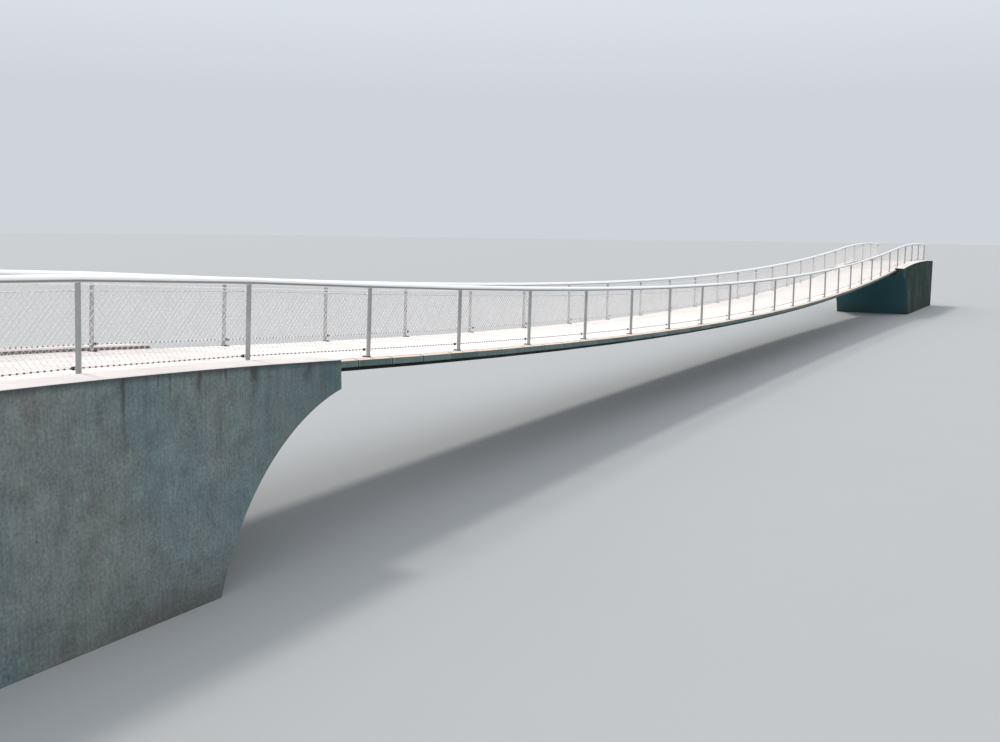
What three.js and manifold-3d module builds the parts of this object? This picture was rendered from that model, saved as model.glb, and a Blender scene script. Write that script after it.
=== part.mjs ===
// Stress-ribbon footbridge: concrete slabs on two sagging steel bands between two abutments.
// The full-size bridge is drawn in millimetres and the finished group is scaled to 1:2.
import * as THREE from "three";
import { mergeVertices } from "three/addons/utils/BufferGeometryUtils.js";
import Module from "manifold-3d";

const wasm = await Module();
wasm.setup();

const modelScale = 1 / 2;
const clearance = 0.6; // between touching pieces

// Deck line, seen from the side. Height 0 is the foot of the abutments, length 0 is midspan.
const bayLength = 2500; // from post to post
const spanBays = 19;
const abutmentPosts = 5; // on each abutment
const midspanHeight = 1700;
const noseRise = 716; // of the abutment's nose above midspan
const slopeEnd = 24400; // where the even slope turns into the crest
const crestRadius = 116000;
const bridgeHalfLength = 35200;
const noseX = (spanBays * bayLength) / 2;

// Slabs
const slabsPerBay = 3;
const slabWidth = 2920;
const slabThickness = 108;
const slabJoint = 10;
const jointDepth = 82; // open depth of the joint between two slabs of a bay
const edgeFallWidth = 84; // outer strip of the slab's top that falls outwards
const edgeFall = 19;
const endSlabExtra = 50; // the first and the last slab are longer by this, up to the nose

// Steel bands under the slabs
const bandWidth = 480;
const bandThickness = 60;
const bandCentreY = 1120;
const bandAnchorLength = 1500; // inside the abutment

// Abutments
const abutmentWidth = 3660;
const noseDepth = 315;
const archRadius = 3080;
const archCentreInset = 620; // arch centre, riverwards of the nose
const archSteps = 24;
const crestSteps = 18;
const kerbInnerY = 1390;
const kerbInnerHeight = 66;
const kerbOuterHeight = 46;
const kerbChamfer = 24; // along its inner edge
const kerbRoot = 150; // how deep the kerb's section reaches into the deck
const kerbEndInset = { left: 100, right: 0 }; // how far behind the nose each kerb stops

// Railing
const railLineY = 1330; // middle of the posts
const railingJointX = 8750; // where two stretches of the railing meet
const railUnderside = 956; // above the deck
const railDiameter = 89;
const railSides = 8;
const postDiameter = 58;
const postSides = 8;
const footLength = 120; // across the bridge
const footWidth = 64;
const footThickness = 10;
const footOffset = 30; // inwards from the post's middle
const cableDiameter = 14;
const cableSides = 6;
const cableInset = 70; // inwards from the post's middle
const upperCableHeight = 880;
const lowerCableHeight = 102;
const lugThickness = 12;
const cableEnd = 35028; // just outside the last post
const netThickness = 6;

const concrete = { color: 0xc9c6bd, roughness: 0.85, metalness: 0 };
const wallConcrete = { color: 0x8d979b, roughness: 0.9, metalness: 0 };
const darkSteel = { color: 0x35373a, roughness: 0.6, metalness: 0.7 };
const postSteel = { color: 0x8b8f90, roughness: 0.45, metalness: 0.9 };
const railSteel = { color: 0xd6d8d8, roughness: 0.25, metalness: 1 };
const netSteel = { color: 0xc2c5c6, roughness: 0.35, metalness: 1 };

const X = new THREE.Vector3(1, 0, 0);
const Y = new THREE.Vector3(0, 1, 0);
const Z = new THREE.Vector3(0, 0, 1);

const sag = noseRise / noseX ** 2;
const noseSlope = 2 * sag * noseX;
const noseHeight = midspanHeight + noseRise;
const crestX = slopeEnd + noseSlope * crestRadius;
const crestHeight = noseHeight + noseSlope * (slopeEnd - noseX) + (noseSlope * (crestX - slopeEnd)) / 2;

const parabola = (x) => midspanHeight + sag * x * x;

// The deck of the span is a chain of straight bays whose ends lie on the parabola.
function deckHeight(x) {
  const d = Math.abs(x);
  if (d >= slopeEnd) return crestHeight - (d - crestX) ** 2 / (2 * crestRadius);
  if (d >= noseX) return noseHeight + noseSlope * (d - noseX);
  const start = Math.floor((x + noseX) / bayLength) * bayLength - noseX;
  const t = (x - start) / bayLength;
  return parabola(start) * (1 - t) + parabola(start + bayLength) * t;
}

function deckAngle(x) {
  return Math.atan2(deckHeight(x + bayLength / 2) - deckHeight(x - bayLength / 2), bayLength);
}

// A point of a post: above the deck at x, square to the slope.
function aboveDeck(x, y, height) {
  const angle = deckAngle(x);
  return new THREE.Vector3(x - height * Math.sin(angle), y, deckHeight(x) + height * Math.cos(angle));
}

// A point of a rail, cable or net, which run straight from post to post.
function alongRailing(x, y, height) {
  const before = Math.floor(x / bayLength) * bayLength;
  const there = aboveDeck(before + bayLength, y, height);
  return aboveDeck(before, y, height).lerp(there, (x - before) / bayLength);
}

const postPositions = [];
const postReach = (spanBays - 1) / 2 + abutmentPosts;
for (let k = -postReach; k <= postReach; k++) postPositions.push(k * bayLength);

// A side elevation drawn in x and z, extruded across the bridge about yCentre.
function acrossBridge(points, width, yCentre = 0) {
  const geometry = new THREE.ExtrudeGeometry(sectionShape(points), { depth: width, bevelEnabled: false, steps: 1 });
  geometry.applyMatrix4(new THREE.Matrix4().makeBasis(X, Z, Y.clone().negate()));
  return geometry.translate(0, yCentre + width / 2, 0);
}

// A cross-section drawn in y and z, extruded along the bridge about x = 0.
function alongBridge(points, length) {
  const geometry = new THREE.ExtrudeGeometry(sectionShape(points), { depth: length, bevelEnabled: false, steps: 1 });
  geometry.applyMatrix4(new THREE.Matrix4().makeBasis(Y, Z, X));
  return geometry.translate(-length / 2, 0, 0);
}

const sectionShape = (points) => new THREE.Shape(points.map(([a, b]) => new THREE.Vector2(a, b)));

// A bar along the bridge. The extrusion has one step for each station, and every vertex then
// moves to its own station, so that the bar bends at the stations alone.
function bar(section, stations, place) {
  const steps = stations.length - 1;
  const geometry = new THREE.ExtrudeGeometry(section, { depth: steps, bevelEnabled: false, steps });
  const position = geometry.attributes.position;
  for (let v = 0; v < position.count; v++) {
    const point = place(stations[Math.round(position.getZ(v))], position.getX(v), position.getY(v));
    position.setXYZ(v, point.x, point.y, point.z);
  }
  return geometry;
}

// A bar of the railing, whose sections stand square to the deck's slope.
const railingBar = (section, stations, y, height) =>
  bar(section, stations, (x, dy, dz) => alongRailing(x, y + dy, height + dz));

// A bar of cast concrete, whose sections stand plumb.
const plumb = (section, stations) =>
  bar(section, stations, (x, y, dz) => new THREE.Vector3(x, y, deckHeight(x) + dz));

// A regular polygon with a flat side down, as wide across its flats as the diameter.
function roundSection(diameter, sides) {
  const cornerRadius = diameter / 2 / Math.cos(Math.PI / sides);
  const corners = [];
  for (let k = 0; k < sides; k++) {
    const angle = ((k + 0.5) / sides) * 2 * Math.PI - Math.PI / 2;
    corners.push(new THREE.Vector2(cornerRadius * Math.cos(angle), cornerRadius * Math.sin(angle)));
  }
  return new THREE.Shape(corners);
}

function toSolid(geometry) {
  const bare = geometry.clone();
  bare.deleteAttribute("normal");
  bare.deleteAttribute("uv");
  const merged = mergeVertices(bare, 1e-3);
  const vertProperties = new Float32Array(merged.attributes.position.array);
  const triVerts = new Uint32Array(merged.index.array);
  return new wasm.Manifold(new wasm.Mesh({ numProp: 3, vertProperties, triVerts }));
}

function toGeometry(solid) {
  const mesh = solid.getMesh();
  const geometry = new THREE.BufferGeometry();
  const positions = new Float32Array(mesh.numVert * 3);
  for (let v = 0; v < mesh.numVert; v++) {
    for (let axis = 0; axis < 3; axis++) positions[3 * v + axis] = mesh.vertProperties[mesh.numProp * v + axis];
  }
  geometry.setAttribute("position", new THREE.BufferAttribute(positions, 3));
  geometry.setIndex([...mesh.triVerts]);
  geometry.computeVertexNormals();
  return geometry;
}

const joined = (geometries) => toGeometry(geometries.map(toSolid).reduce((sum, solid) => sum.add(solid)));
const cut = (geometry, cutters) =>
  toGeometry(cutters.map(toSolid).reduce((rest, solid) => rest.subtract(solid), toSolid(geometry)));

const bridge = new THREE.Group();

function addPiece(name, geometry, finish) {
  const mesh = new THREE.Mesh(geometry, new THREE.MeshStandardMaterial(finish));
  mesh.name = name;
  bridge.add(mesh);
  return mesh;
}

// Three slabs of one bay. They are open to each other down to the mortar at the foot of the joint.
// The end side is -1 or 1 on the bay that meets the near or far abutment.
function slabBayGeometry(endSide) {
  const side = slabWidth / 2;
  const section = [
    [-side, -slabThickness],
    [side, -slabThickness],
    [side, -edgeFall],
    [side - edgeFallWidth, 0],
    [edgeFallWidth - side, 0],
    [-side, -edgeFall],
  ];
  const extra = Math.abs(endSide) * endSlabExtra;
  const bay = alongBridge(section, bayLength - slabJoint + extra).translate((endSide * extra) / 2, 0, 0);
  const joints = [];
  for (let k = 1; k < slabsPerBay; k++) {
    const joint = new THREE.BoxGeometry(slabJoint, slabWidth + slabJoint, 2 * jointDepth);
    joints.push(joint.translate((k / slabsPerBay - 0.5) * bayLength, 0, 0));
  }
  return cut(bay, joints);
}

// Side elevation of a steel band, from anchorage to anchorage, grown all round by a margin.
function bandOutline(margin) {
  const anchorX = noseX + bandAnchorLength + margin;
  const stations = [-anchorX];
  for (let k = 0; k <= spanBays; k++) stations.push(k * bayLength - noseX);
  stations.push(anchorX);
  const top = stations.map((x) => [x, deckHeight(x) - slabThickness - 2 * clearance + margin]);
  const bottom = top.map(([x, z]) => [x, z - bandThickness - 2 * margin]);
  return [...top, ...bottom.reverse()];
}

function abutmentStations(side) {
  const start = noseX + endSlabExtra + clearance;
  const stations = [];
  for (let k = 0; k <= crestSteps; k++) {
    stations.push(side * (start + ((bridgeHalfLength - start) * k) / crestSteps));
  }
  return stations;
}

function archUnderside(side) {
  const centreX = noseX - archCentreInset;
  const centreZ = noseHeight - noseDepth - Math.sqrt(archRadius ** 2 - archCentreInset ** 2);
  const first = Math.asin(-centreZ / archRadius);
  const last = Math.acos((noseX + endSlabExtra + clearance - centreX) / archRadius);
  const points = [];
  for (let k = 0; k <= archSteps; k++) {
    const angle = first + ((last - first) * k) / archSteps;
    points.push([side * (centreX + archRadius * Math.cos(angle)), centreZ + archRadius * Math.sin(angle)]);
  }
  return points;
}

// Raised kerb outside the posts, with its top falling outwards to the wall.
function kerbGeometry(side, hand) {
  const [nose, ...others] = abutmentStations(side);
  const inset = hand > 0 ? kerbEndInset.left : kerbEndInset.right;
  const stations = [nose + side * inset, ...others].sort((a, b) => a - b);
  const outerY = abutmentWidth / 2;
  const corners = [
    [kerbInnerY, -kerbRoot],
    [outerY, -kerbRoot],
    [outerY, kerbOuterHeight],
    [kerbInnerY + kerbChamfer, kerbInnerHeight],
    [kerbInnerY, kerbInnerHeight - kerbChamfer],
  ];
  return plumb(sectionShape(corners.map(([y, z]) => [hand * y, z])), stations);
}

function abutmentGeometry(side) {
  const top = abutmentStations(side).map((x) => [x, deckHeight(x)]);
  const foot = [[side * bridgeHalfLength, 0]];
  const body = acrossBridge([...top, ...foot, ...archUnderside(side)], abutmentWidth);
  const kerbs = [-1, 1].map((hand) => kerbGeometry(side, hand));
  const pockets = [-1, 1].map((hand) =>
    acrossBridge(bandOutline(clearance), bandWidth + 2 * clearance, hand * bandCentreY));
  return cut(joined([body, ...kerbs]), pockets);
}

// A piece drawn about the foot of the post at x, turned with the slope of the deck there.
function standAt(geometry, x, y) {
  geometry.rotateY(-deckAngle(x));
  return geometry.translate(x, y, deckHeight(x));
}

// One post with its foot plate and the two lugs that hold the cables.
function postPieces(x, hand) {
  const foot = new THREE.BoxGeometry(footWidth, footLength, footThickness);
  foot.translate(0, -hand * footOffset, footThickness / 2 + clearance);
  const bottom = footThickness / 2;
  const height = railUnderside - clearance - bottom;
  const post = new THREE.ExtrudeGeometry(roundSection(postDiameter, postSides),
    { depth: height, bevelEnabled: false, steps: 1 });
  post.translate(0, 0, bottom);
  const lugs = [lowerCableHeight, upperCableHeight].map((cableHeight) => {
    const lug = new THREE.BoxGeometry(lugThickness, cableInset, lugThickness);
    return lug.translate(0, (-hand * cableInset) / 2, cableHeight);
  });
  return [foot, post, ...lugs].map((piece) => standAt(piece, x, hand * railLineY));
}

const postsBetween = (start, end) => postPositions.filter((x) => x > start && x < end);

// Where a bar bends between two places: at its ends and at each post.
const stationsBetween = (start, end) => [start, ...postsBetween(start, end), end];

// Posts of one stretch, joined by the two cables that run through their lugs.
function postsGeometry(hand, start, end) {
  const cableY = hand * (railLineY - cableInset);
  const section = roundSection(cableDiameter, cableSides);
  const stations = stationsBetween(Math.max(start, -cableEnd), Math.min(end, cableEnd));
  const cables = [lowerCableHeight, upperCableHeight].map((height) =>
    railingBar(section, stations, cableY, height));
  return joined([...postsBetween(start, end).flatMap((x) => postPieces(x, hand)), ...cables]);
}

// Sheet standing for the wire net between the two cables.
function netGeometry(hand, start, end) {
  const low = lowerCableHeight + cableDiameter / 2 + clearance;
  const high = upperCableHeight - cableDiameter / 2 - clearance;
  const half = netThickness / 2;
  const section = sectionShape([[-half, low], [half, low], [half, high], [-half, high]]);
  const stations = stationsBetween(Math.max(start, -cableEnd), Math.min(end, cableEnd));
  return railingBar(section, stations, hand * (railLineY - cableInset), 0);
}

function handrailGeometry(hand, start, end) {
  const section = roundSection(railDiameter, railSides);
  return railingBar(section, stationsBetween(start, end), hand * railLineY, railUnderside + railDiameter / 2);
}

addPiece("near_abutment", abutmentGeometry(-1), wallConcrete);
addPiece("far_abutment", abutmentGeometry(1), wallConcrete);

const hands = { left: 1, right: -1 };
for (const [side, hand] of Object.entries(hands)) {
  addPiece(`${side}_band`, acrossBridge(bandOutline(0), bandWidth, hand * bandCentreY), darkSteel);
}

for (let k = 0; k < spanBays; k++) {
  const x = (k + 0.5) * bayLength - noseX;
  const endSide = k === 0 ? -1 : k === spanBays - 1 ? 1 : 0;
  const piece = addPiece(`slab_bay_${String(k + 1).padStart(2, "0")}`, slabBayGeometry(endSide), concrete);
  piece.position.set(x, 0, deckHeight(x));
  piece.rotation.y = -deckAngle(x);
}

// The railing comes in three stretches, which meet halfway between two posts.
const stretches = {
  near: [-bridgeHalfLength, -railingJointX - clearance / 2],
  mid: [clearance / 2 - railingJointX, railingJointX - clearance / 2],
  far: [railingJointX + clearance / 2, bridgeHalfLength],
};

for (const [side, hand] of Object.entries(hands)) {
  for (const [stretch, [start, end]] of Object.entries(stretches)) {
    addPiece(`${side}_handrail_${stretch}`, handrailGeometry(hand, start, end), railSteel);
    addPiece(`${side}_posts_${stretch}`, postsGeometry(hand, start, end), postSteel);
    addPiece(`${side}_net_${stretch}`, netGeometry(hand, start, end), netSteel);
  }
}

bridge.scale.setScalar(modelScale);

export default bridge;
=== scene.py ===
import math

import bmesh
import bpy
from mathutils import Matrix, Vector


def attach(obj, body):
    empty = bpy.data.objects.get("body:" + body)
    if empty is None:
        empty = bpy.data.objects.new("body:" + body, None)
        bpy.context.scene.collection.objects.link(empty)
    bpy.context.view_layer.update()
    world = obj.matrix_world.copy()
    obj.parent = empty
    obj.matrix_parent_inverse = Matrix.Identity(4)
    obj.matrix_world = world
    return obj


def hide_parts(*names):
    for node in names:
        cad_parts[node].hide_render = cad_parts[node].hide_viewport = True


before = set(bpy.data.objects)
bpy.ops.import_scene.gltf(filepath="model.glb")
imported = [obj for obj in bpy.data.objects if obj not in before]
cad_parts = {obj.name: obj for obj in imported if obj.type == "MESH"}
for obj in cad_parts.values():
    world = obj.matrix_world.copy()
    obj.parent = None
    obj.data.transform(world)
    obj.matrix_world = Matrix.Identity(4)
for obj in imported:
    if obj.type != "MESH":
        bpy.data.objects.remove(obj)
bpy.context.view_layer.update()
print("frame loaded with", len(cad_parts), "nodes")

# Metres of the half-size model. The bridge runs along X, with midspan at x = 0 and the floor at z = 0.
deckLine = {
    "bayLength": 1.25,  # post to post
    "spanBays": 19,
    "abutmentPosts": 5,
    "midspanHeight": 0.85,
    "noseRise": 0.358,  # the abutment's nose above midspan
    "endSlabExtra": 0.025,  # the first and the last slab run on this far to the nose
    "slopeEnd": 12.2,  # the even slope turns into the crest here
    "crestRadius": 58.0,
    "halfLength": 17.6,
    "railingJointBays": 3.5,  # from midspan to where two stretches of railing meet
    "kerbInnerY": 0.695,
}
bay = deckLine["bayLength"]
noseX = deckLine["spanBays"] * bay / 2
sag = deckLine["noseRise"] / noseX**2
noseSlope = 2 * sag * noseX
noseHeight = deckLine["midspanHeight"] + deckLine["noseRise"]
noseEnd = noseX + deckLine["endSlabExtra"]
crestX = deckLine["slopeEnd"] + noseSlope * deckLine["crestRadius"]
crestHeight = (
    noseHeight
    + noseSlope * (deckLine["slopeEnd"] - noseX)
    + noseSlope * (crestX - deckLine["slopeEnd"]) / 2
)


def deckHeight(x):  # each bay of the span is straight, between points of a parabola
    length = abs(x)
    if length >= deckLine["slopeEnd"]:
        return crestHeight - (length - crestX) ** 2 / (2 * deckLine["crestRadius"])
    if length >= noseX:
        return noseHeight + noseSlope * (length - noseX)
    start = math.floor((x + noseX) / bay) * bay - noseX
    share = (x - start) / bay
    before, after = (deckLine["midspanHeight"] + sag * end * end for end in (start, start + bay))
    return before * (1 - share) + after * share


def deckAngle(x):
    return math.atan2(deckHeight(x + bay / 2) - deckHeight(x - bay / 2), bay)


def aboveDeck(x, y, height):  # a point of a post, square to the slope
    angle = deckAngle(x)
    return Vector((x - height * math.sin(angle), y, deckHeight(x) + height * math.cos(angle)))


def alongRailing(x, y, height):  # rails and cables run straight from post to post
    before = math.floor(x / bay + 1e-6) * bay
    there = aboveDeck(before + bay, y, height)
    return aboveDeck(before, y, height).lerp(there, (x - before) / bay)


def standAt(x, y, turn=0.0):  # stands a piece on the deck, turned with its slope
    place = Matrix.Translation((x, y, deckHeight(x)))
    return place @ Matrix.Rotation(-deckAngle(x), 4, "Y") @ Matrix.Rotation(turn, 4, "Z")


postReach = (deckLine["spanBays"] - 1) // 2 + deckLine["abutmentPosts"]
postPlaces = [k * bay for k in range(-postReach, postReach + 1)]
hands = {"left": 1, "right": -1}
railingJoint = deckLine["railingJointBays"] * bay
stretches = {
    "near": (-deckLine["halfLength"], -railingJoint),
    "mid": (-railingJoint, railingJoint),
    "far": (railingJoint, deckLine["halfLength"]),
}


# Node helpers
def addNode(tree, kind, inputs=None, **settings):
    node = tree.nodes.new(kind)
    for name, value in settings.items():
        setattr(node, name, value)
    for socket, value in (inputs or {}).items():
        if isinstance(value, bpy.types.NodeSocket):
            tree.links.new(value, node.inputs[socket])
        else:
            node.inputs[socket].default_value = value
    return node


def mathNode(tree, operation, a, b=0.0, clamp=False):
    inputs = {0: a, 1: b}
    return addNode(tree, "ShaderNodeMath", inputs, operation=operation, use_clamp=clamp).outputs[0]


def plus(tree, a, b, clamp=False):
    return mathNode(tree, "ADD", a, b, clamp)


def minus(tree, a, b, clamp=False):
    return mathNode(tree, "SUBTRACT", a, b, clamp)


def times(tree, a, b, clamp=False):
    return mathNode(tree, "MULTIPLY", a, b, clamp)


def fadeOut(tree, distance, reach):  # 1 at the start, 0 from the reach on
    return minus(tree, 1.0, mathNode(tree, "DIVIDE", distance, reach), clamp=True)


def remap(tree, value, low, high, toLow=0.0, toHigh=1.0):
    inputs = {"Value": value, "From Min": low, "From Max": high, "To Min": toLow, "To Max": toHigh}
    return addNode(tree, "ShaderNodeMapRange", inputs).outputs["Result"]


def mixColor(tree, share, a, b, blend="MIX"):
    inputs = {0: share, 6: a, 7: b}
    return addNode(tree, "ShaderNodeMix", inputs, data_type="RGBA", blend_type=blend).outputs[2]


def covered(tree, color, mask, share, cover):  # a share of another colour where the mask is
    return mixColor(tree, times(tree, mask, share), color, cover)


def shaded(tree, color, mask, tones):  # multiplied by something between a dark and a pale tone
    dark, pale, share = tones
    return mixColor(tree, share, color, mixColor(tree, mask, dark, pale), "MULTIPLY")


def splitUp(tree, vector):  # into X, Y and Z
    return addNode(tree, "ShaderNodeSeparateXYZ", {0: vector}).outputs


def stretched(tree, vector, scale):
    inputs = {"Vector": vector, "Scale": scale}
    return addNode(tree, "ShaderNodeMapping", inputs).outputs["Vector"]


def addNoise(tree, vector, scale, detail, roughness=0.5):
    inputs = {"Vector": vector, "Scale": scale, "Detail": detail, "Roughness": roughness}
    return addNode(tree, "ShaderNodeTexNoise", inputs).outputs[0]


def newGroup(name, inputs, outputs):
    group = bpy.data.node_groups.new(name, "ShaderNodeTree")
    for socketName, value in inputs.items():
        kind = "NodeSocketVector" if value is None else "NodeSocketFloat"
        socket = group.interface.new_socket(socketName, in_out="INPUT", socket_type=kind)
        if value is not None:
            socket.default_value = value
    for socketName in outputs:
        group.interface.new_socket(socketName, in_out="OUTPUT", socket_type="NodeSocketFloat")
    return group, group.nodes.new("NodeGroupInput").outputs, group.nodes.new("NodeGroupOutput").inputs


def useGroup(tree, group, inputs):
    return addNode(tree, "ShaderNodeGroup", inputs, node_tree=group).outputs


# Shared effects
def makeMottle():  # cloudy patches between two thresholds of a noise
    group, given, result = newGroup(
        "mottle", {"Vector": None, "Scale": 5.0, "Detail": 4.0, "Low": 0.4, "High": 0.6}, ["Mask"]
    )
    noise = addNoise(group, given["Vector"], given["Scale"], given["Detail"], 0.6)
    group.links.new(remap(group, noise, given["Low"], given["High"]), result["Mask"])
    return group


dripShape = {
    "stretch": 0.5,  # of the noise, down the wall
    "roughness": 0.62,
    "edge": 0.17,  # noise from a streak's rim to its full strength
    "lengthScale": 0.37,
    "lengthNoise": (0.3, 0.72),
    "lengthShares": (0.12, 1.7),  # of the reach
}


def makeDrips():  # runs of rainwater that start under an edge and fade out further down
    group, given, result = newGroup(
        "drips", {"Vector": None, "Columns": 9.0, "Reach": 0.6, "Below": 0.0, "Sparse": 0.5}, ["Mask"]
    )
    parts = splitUp(group, given["Vector"])
    x, y = (times(group, parts[axis], given["Columns"]) for axis in (0, 1))
    z = times(group, parts[2], dripShape["stretch"])
    drawn = addNode(group, "ShaderNodeCombineXYZ", {0: x, 1: y, 2: z}).outputs[0]
    streaks = addNoise(group, drawn, 1.0, 5.0, dripShape["roughness"])
    flat = addNode(group, "ShaderNodeCombineXYZ", {0: x, 1: y}).outputs[0]
    lengths = addNoise(group, flat, dripShape["lengthScale"], 1.0)
    lengths = remap(group, lengths, *dripShape["lengthNoise"], *dripShape["lengthShares"])
    fade = fadeOut(group, given["Below"], times(group, lengths, given["Reach"]))
    streaks = remap(group, minus(group, streaks, given["Sparse"]), 0.0, dripShape["edge"])
    group.links.new(times(group, streaks, fade, clamp=True), result["Mask"])
    return group


runShape = {
    "scale": 14.0,
    "raggedNoise": (0.3, 0.6),
    "raggedShares": (0.55, 1.0),
    "strength": 1.6,
}


def makeRun():  # one single stain that runs down from a given place of the edge
    group, given, result = newGroup(
        "run", {"Vector": None, "Below": 0.0, "Place": 0.0, "Width": 0.05, "Reach": 0.2}, ["Mask"]
    )
    along = splitUp(group, given["Vector"])[0]
    noise = addNoise(group, given["Vector"], runShape["scale"], 5.0)
    waver = times(group, minus(group, noise, 0.5), given["Width"])
    aside = minus(group, plus(group, along, waver), given["Place"])
    share = mathNode(group, "DIVIDE", mathNode(group, "ABSOLUTE", aside), given["Width"])
    inside = minus(group, 1.0, times(group, share, 2.0), clamp=True)
    fade = fadeOut(group, given["Below"], given["Reach"])
    ragged = remap(group, noise, *runShape["raggedNoise"], *runShape["raggedShares"])
    mask = times(group, times(group, inside, fade), ragged)
    group.links.new(times(group, mask, runShape["strength"], clamp=True), result["Mask"])
    return group


def makeBelowEdge():  # how far a point of an abutment's wall lies under the deck line
    group, given, result = newGroup("belowEdge", {"Vector": None}, ["Below"])
    parts = splitUp(group, given["Vector"])
    length = mathNode(group, "ABSOLUTE", parts[0])
    crestPart = mathNode(group, "MAXIMUM", length, deckLine["slopeEnd"])
    fromCrest = mathNode(group, "POWER", minus(group, crestPart, crestX), 2.0)
    drop = times(group, fromCrest, 1 / (2 * deckLine["crestRadius"]))
    slopePart = times(group, minus(group, crestPart, length), noseSlope)
    line = minus(group, minus(group, crestHeight, drop), slopePart)
    group.links.new(minus(group, line, parts[2]), result["Below"])
    return group


def makeSlabTone():  # one tone for each slab, and how close a point is to a joint
    group, given, result = newGroup(
        "slabTone", {"Vector": None, "Pitch": 0.4, "Offset": 0.0, "Width": 0.01}, ["Tone", "Joint"]
    )
    along = plus(group, splitUp(group, given["Vector"])[0], given["Offset"])
    counted = mathNode(group, "DIVIDE", along, given["Pitch"])
    slab = mathNode(group, "FLOOR", counted)
    tone = addNode(group, "ShaderNodeTexWhiteNoise", {"W": slab}, noise_dimensions="1D")
    fromJoint = times(group, mathNode(group, "PINGPONG", counted, 0.5), given["Pitch"])
    group.links.new(tone.outputs["Value"], result["Tone"])
    group.links.new(fadeOut(group, fromJoint, given["Width"]), result["Joint"])
    return group


def makePits():  # small round pits, such as air holes in cast concrete
    group, given, result = newGroup("pits", {"Vector": None, "Scale": 30.0, "Size": 0.1}, ["Mask"])
    cells = addNode(group, "ShaderNodeTexVoronoi", {"Vector": given["Vector"], "Scale": given["Scale"]})
    chance = splitUp(group, cells.outputs["Color"])[0]
    size = times(group, mathNode(group, "POWER", chance, 4.0), given["Size"])  # few pits are large
    inside = minus(group, size, cells.outputs["Distance"])
    group.links.new(times(group, inside, 40.0, clamp=True), result["Mask"])
    return group


mottle = makeMottle()
drips = makeDrips()
run = makeRun()
belowEdge = makeBelowEdge()
slabTone = makeSlabTone()
pits = makePits()


def cloudy(tree, vector, look):  # look: scale, detail and both thresholds of a mottle
    inputs = dict(zip(("Scale", "Detail", "Low", "High"), look))
    return useGroup(tree, mottle, {"Vector": vector} | inputs)["Mask"]


def pitted(tree, vector, look):  # look: scale of the cells and size of the pits in them
    scale, size = look
    return useGroup(tree, pits, {"Vector": vector, "Scale": scale, "Size": size})["Mask"]


def newMaterial(name, roughness, metallic=0.0):
    material = bpy.data.materials.new(name)
    material.use_nodes = True
    tree = material.node_tree
    shader = tree.nodes["Principled BSDF"]
    shader.inputs["Roughness"].default_value = roughness
    shader.inputs["Metallic"].default_value = metallic
    place = addNode(tree, "ShaderNodeTexCoord").outputs["Object"]
    return material, tree, shader, place


def addBump(tree, shader, height, distance, strength=1.0):
    inputs = {"Height": height, "Distance": distance, "Strength": strength}
    tree.links.new(addNode(tree, "ShaderNodeBump", inputs).outputs[0], shader.inputs["Normal"])


def facingZ(tree):
    return splitUp(tree, addNode(tree, "ShaderNodeNewGeometry").outputs["Normal"])[2]


def upward(tree, start=0.55, full=0.85):  # 1 on faces that look up
    return remap(tree, facingZ(tree), start, full)


def downward(tree, start=-0.05, full=-0.35):
    return remap(tree, facingZ(tree), start, full)


wallLook = {
    "blue": (0.146, 0.203, 0.216, 1),
    "grey": (0.200, 0.212, 0.190, 1),
    "stain": (0.062, 0.045, 0.038, 1),
    "grime": (0.045, 0.050, 0.047, 1),
    "lime": (0.34, 0.36, 0.35, 1),
    "damp": (0.048, 0.092, 0.112, 1),
    # moss and painted shade of trees, on the far abutment
    "mossAndTreeShade": (0.024, 0.045, 0.036, 1),
    # painted shade with a painted reflection of water, on faces that look down
    "soffitPaintedShade": (0.042, 0.118, 0.138, 1),
    # painted light: the deck's tops are far paler than the walls of the same concrete, part wear and
    # dryness, part painted sunlight
    "deck": (0.65, 0.59, 0.56, 1),
    "deckWorn": (0.53, 0.48, 0.45, 1),
    # painted shade on the kerbs' inner faces
    "kerbInsideShade": (0.17, 0.163, 0.147, 1),
    "deckJoint": (0.20, 0.15, 0.13, 1),
    "roughness": 0.86,
    "gloss": 0.05,
    # mottles, with the stretch of two of them
    "patches": (1.3, 6.0, 0.36, 0.64),
    "panelStretch": (2.6, 2.6, 0.35),
    "panels": (1.0, 3.0, 0.3, 0.7),
    "blotches": (7.5, 9.0, 0.3, 0.7),
    "fine": (58.0, 8.0, 0.28, 0.72),
    "boardStretch": (70.0, 70.0, 6.0),
    "boards": (1.0, 4.0, 0.3, 0.7),
    "track": (2.2, 7.0, 0.42, 0.8),
    # dark tone, pale tone and share
    "blotchTones": ((0.72, 0.72, 0.73, 1), (1.26, 1.26, 1.25, 1), 0.9),
    "fineTones": ((0.62, 0.62, 0.62, 1), (1.34, 1.34, 1.34, 1), 0.8),
    "boardTones": ((0.86, 0.86, 0.86, 1), (1.13, 1.13, 1.13, 1), 1.0),
    "holes": (17.0, 0.13),
    "drips": [  # columns, reach, sparseness, share and colour
        (7.0, 0.5, 0.55, 0.55, "stain"), (26.0, 0.3, 0.54, 0.45, "grime"), (33.0, 0.5, 0.63, 0.45, "lime"),
    ],
    "runs": [  # place along the near abutment, width and reach of its single stains
        (-13.70, 0.040, 0.46), (-13.465, 0.022, 0.07), (-13.383, 0.026, 0.12), (-13.167, 0.055, 0.13),
        (-12.961, 0.030, 0.09), (-12.724, 0.075, 0.19), (-12.244, 0.150, 0.13),
    ],
    "runShare": 0.68,
    "dryLength": 3.5,  # the wall gets greyer this far from the nose
    "dampLength": 1.1,
    "splashHeight": 0.34,
    "mossAndTreeShadeShare": 0.97,  # on the far abutment: moss and painted shade of trees
    "mossAndTreeShadeOnLeft": 0.6,
    "deckJointPitch": 0.235,
    "deckJointWidth": 0.006,
    "relief": 0.0012,
}


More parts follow.
